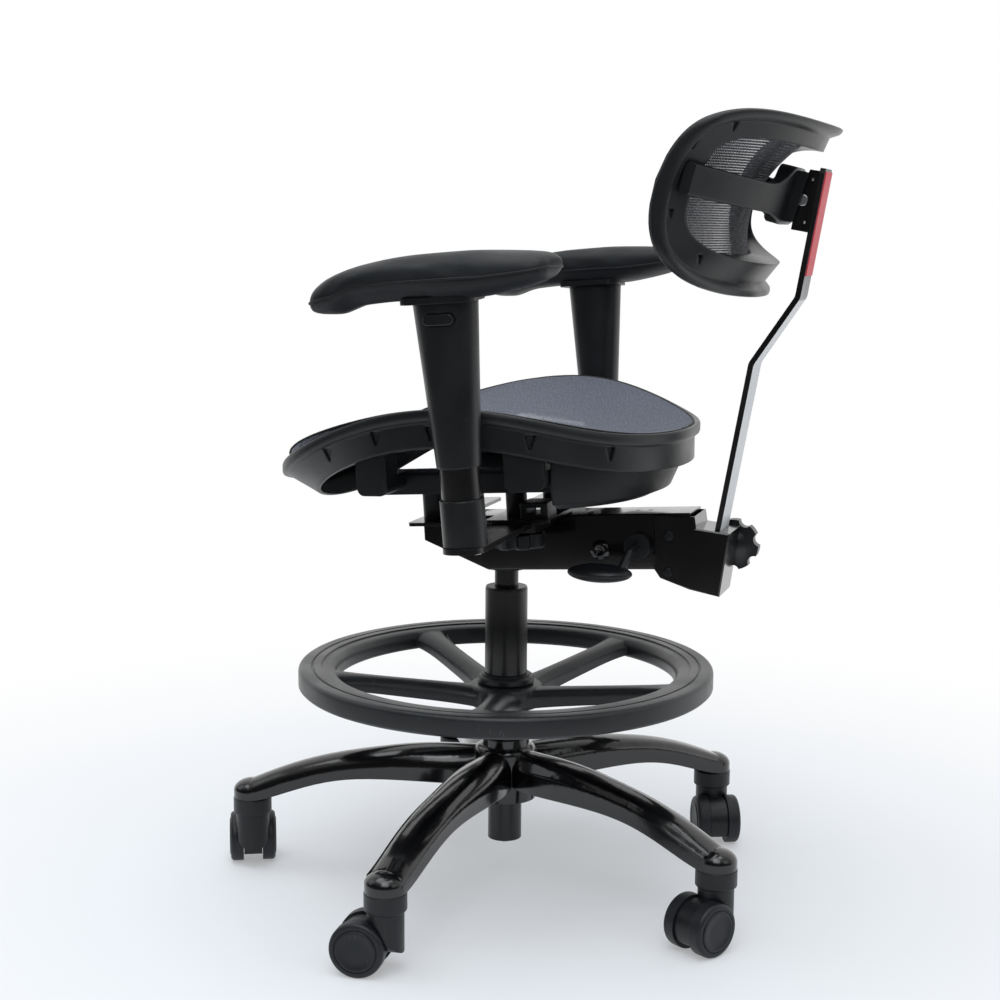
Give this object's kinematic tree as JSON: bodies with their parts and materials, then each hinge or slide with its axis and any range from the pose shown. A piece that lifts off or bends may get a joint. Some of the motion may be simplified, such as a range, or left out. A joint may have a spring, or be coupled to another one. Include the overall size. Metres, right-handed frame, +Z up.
{
  "type": "studio chair",
  "caption": "High studio chair: star base on casters, gas column with spoked foot ring, mesh saddle seat, height-adjusting padded arms and a tilting mesh back on a bent bar.",
  "frame": {"origin": "on the floor, on the axis of the gas column", "axes": "+Z up along the column, the chair faces -Y, +X is the sitter's left"},
  "size_m": [0.6826, 0.7213, 0.894],
  "materials": {
    "gloss_black": "gloss black powder coat",
    "beam_black": "gloss black enamel",
    "tube_black": "satin black enamel",
    "black_plastic": "fine matt grain",
    "ring_plastic": "fine satin grain",
    "frame_plastic": "satin grain",
    "wheel_plastic": "satin, softer tread",
    "gas_steel": "satin black",
    "bright_steel": "bright zinc",
    "black_steel": "satin black enamel",
    "bar_steel": "light grey satin with black edges",
    "strip_red": "satin red film",
    "pad_soft": "soft matt skin",
    "seat_fabric": "fine grey-blue net",
    "back_fabric": "fine dark grey net",
    "guide_plastic": "satin"
  },
  "bodies": {
    "base": {"star_base": "gloss_black", "leg_end_collars": "black_plastic", "stand_tube": "tube_black", "guide_bush": "guide_plastic", "piston_rod": "bright_steel"},
    "lift": {"gas_cylinder": "gas_steel"},
    "seat": {"main_beam": "beam_black", "taper_socket": "black_steel", "cross_plate": "beam_black", "front_plate": "beam_black", "seat_posts": "black_plastic", "clamp_boxes": "black_plastic", "seat_bolts": "bright_steel", "back_housing": "beam_black", "housing_rivets": "bright_steel", "arm_guides": "black_steel", "seat_frame": "frame_plastic", "seat_mesh": "seat_fabric", "seat_bucket": "frame_plastic", "seat_carrier": "black_plastic"},
    "back_post": {"back_bar": "bar_steel", "bar_strip": "strip_red", "back_bracket": "black_steel", "pivot_pin": "bright_steel", "bracket_screws": "bright_steel"},
    "backrest": {"back_frame": "frame_plastic", "back_mesh": "back_fabric", "back_yoke": "black_plastic"},
    "lever": {"height_lever": "black_plastic"},
    "back_knob": {"back_clamp_knob": "black_plastic"},
    "footrest": {"foot_ring": "ring_plastic"},
    "footrest_lock": {"foot_ring_collar": "black_plastic"},
    "arm_left": {"arm_bar_left": "beam_black", "arm_socket_left": "black_plastic", "arm_tube_left": "black_steel", "arm_screws_left": "bright_steel"},
    "arm_top_left": {"arm_sleeve_left": "black_plastic", "pad_bracket_left": "black_plastic", "arm_pad_left": "pad_soft"},
    "arm_button_left": {"arm_button_left": "black_plastic"},
    "arm_knob_left": {"arm_clamp_knob_left": "black_plastic"},
    "arm_right": {"arm_bar_right": "beam_black", "arm_socket_right": "black_plastic", "arm_tube_right": "black_steel", "arm_screws_right": "bright_steel"},
    "arm_top_right": {"arm_sleeve_right": "black_plastic", "pad_bracket_right": "black_plastic", "arm_pad_right": "pad_soft"},
    "arm_button_right": {"arm_button_right": "black_plastic"},
    "arm_knob_right": {"arm_clamp_knob_right": "black_plastic"},
    "caster_1": {"caster_fork_1": "black_plastic"},
    "wheels_1": {"caster_wheels_1": "wheel_plastic"},
    "caster_2": {"caster_fork_2": "black_plastic"},
    "wheels_2": {"caster_wheels_2": "wheel_plastic"},
    "caster_3": {"caster_fork_3": "black_plastic"},
    "wheels_3": {"caster_wheels_3": "wheel_plastic"},
    "caster_4": {"caster_fork_4": "black_plastic"},
    "wheels_4": {"caster_wheels_4": "wheel_plastic"},
    "caster_5": {"caster_fork_5": "black_plastic"},
    "wheels_5": {"caster_wheels_5": "wheel_plastic"}
  },
  "joints": [
    {"name": "seat_height", "type": "slide", "parent": "base", "child": "lift", "axis": [0, 0, 1], "range_m": [0, 0.2]},
    {"name": "seat_swivel", "type": "hinge", "parent": "lift", "child": "seat", "pos_m": [0, 0, 0.42], "axis": [0, 0, 1], "continuous": true},
    {"name": "back_height", "type": "slide", "parent": "seat", "child": "back_post", "axis": [0, 0.1702, 0.9854], "range_m": [-0.02, 0.05]},
    {"name": "back_tilt", "type": "hinge", "parent": "back_post", "child": "backrest", "pos_m": [0, 0.33645, 0.807], "axis": [1, 0, 0], "range_deg": [-8, 6]},
    {"name": "arm_width_left", "type": "slide", "parent": "seat", "child": "arm_left", "axis": [1, 0, 0], "range_m": [-0.005, 0.03]},
    {"name": "arm_width_right", "type": "slide", "parent": "seat", "child": "arm_right", "axis": [-1, 0, 0], "range_m": [-0.005, 0.03]},
    {"name": "arm_height_left", "type": "slide", "parent": "arm_left", "child": "arm_top_left", "axis": [0.0593, -0.0696, 0.9958], "range_m": [-0.025, 0.06]},
    {"name": "arm_height_right", "type": "slide", "parent": "arm_right", "child": "arm_top_right", "axis": [-0.0593, -0.0696, 0.9958], "range_m": [-0.025, 0.06]},
    {"name": "height_lever_lift", "type": "hinge", "parent": "seat", "child": "lever", "pos_m": [0.033, 0.166, 0.421], "axis": [-1, 0, 0], "range_deg": [0, 8], "stiffness_Nm_per_rad": 1.5, "springref_deg": -5.73},
    {"name": "foot_ring_height", "type": "slide", "parent": "base", "child": "footrest", "axis": [0, 0, 1], "range_m": [-0.03, 0.08]},
    {"name": "foot_ring_lock", "type": "hinge", "parent": "footrest", "child": "footrest_lock", "pos_m": [0, 0, 0.247], "axis": [0, 0, 1], "range_deg": [0, 45]},
    {"name": "back_knob_turn", "type": "hinge", "parent": "seat", "child": "back_knob", "pos_m": [-0.042, 0.26152, 0.4175], "axis": [1, 0, 0], "range_deg": [0, 270]},
    {"name": "arm_knob_turn_left", "type": "hinge", "parent": "seat", "child": "arm_knob_left", "pos_m": [0.088, 0.044, 0.4349], "axis": [0, -0.0698, 0.9976], "range_deg": [0, 270]},
    {"name": "arm_knob_turn_right", "type": "hinge", "parent": "seat", "child": "arm_knob_right", "pos_m": [-0.088, 0.044, 0.4349], "axis": [0, -0.0698, 0.9976], "range_deg": [0, 270]},
    {"name": "arm_button_press_left", "type": "slide", "parent": "arm_top_left", "child": "arm_button_left", "axis": [-0.9982, -0.0041, 0.0592], "range_m": [0, 0.003], "stiffness_N_per_m": 400, "springref_m": -0.001},
    {"name": "arm_button_press_right", "type": "slide", "parent": "arm_top_right", "child": "arm_button_right", "axis": [0.9982, -0.0041, 0.0592], "range_m": [0, 0.003], "stiffness_N_per_m": 400, "springref_m": -0.001},
    {"name": "caster_swivel_1", "type": "hinge", "parent": "base", "child": "caster_1", "pos_m": [0.30753, -0.03015, 0.069], "axis": [0, 0, 1], "continuous": true},
    {"name": "caster_swivel_2", "type": "hinge", "parent": "base", "child": "caster_2", "pos_m": [0.12371, 0.28316, 0.069], "axis": [0, 0, 1], "continuous": true},
    {"name": "caster_swivel_3", "type": "hinge", "parent": "base", "child": "caster_3", "pos_m": [-0.23107, 0.20515, 0.069], "axis": [0, 0, 1], "continuous": true},
    {"name": "caster_swivel_4", "type": "hinge", "parent": "base", "child": "caster_4", "pos_m": [-0.26652, -0.15636, 0.069], "axis": [0, 0, 1], "continuous": true},
    {"name": "caster_swivel_5", "type": "hinge", "parent": "base", "child": "caster_5", "pos_m": [0.06635, -0.30179, 0.069], "axis": [0, 0, 1], "continuous": true},
    {"name": "wheel_spin_1", "type": "hinge", "parent": "caster_1", "child": "wheels_1", "pos_m": [0.3097, -0.05506, 0.03], "axis": [0.9962, 0.0872, 0], "continuous": true},
    {"name": "wheel_spin_2", "type": "hinge", "parent": "caster_2", "child": "wheels_2", "pos_m": [0.14505, 0.27013, 0.03], "axis": [0.521, 0.8536, 0], "continuous": true},
    {"name": "wheel_spin_3", "type": "hinge", "parent": "caster_3", "child": "wheels_3", "pos_m": [-0.20827, 0.2154, 0.03], "axis": [-0.4099, 0.9121, 0], "continuous": true},
    {"name": "wheel_spin_4", "type": "hinge", "parent": "caster_4", "child": "wheels_4", "pos_m": [-0.27424, -0.13259, 0.03], "axis": [-0.9511, -0.309, 0], "continuous": true},
    {"name": "wheel_spin_5", "type": "hinge", "parent": "caster_5", "child": "wheels_5", "pos_m": [0.04396, -0.31291, 0.03], "axis": [0.4446, -0.8957, 0], "continuous": true}
  ]
}
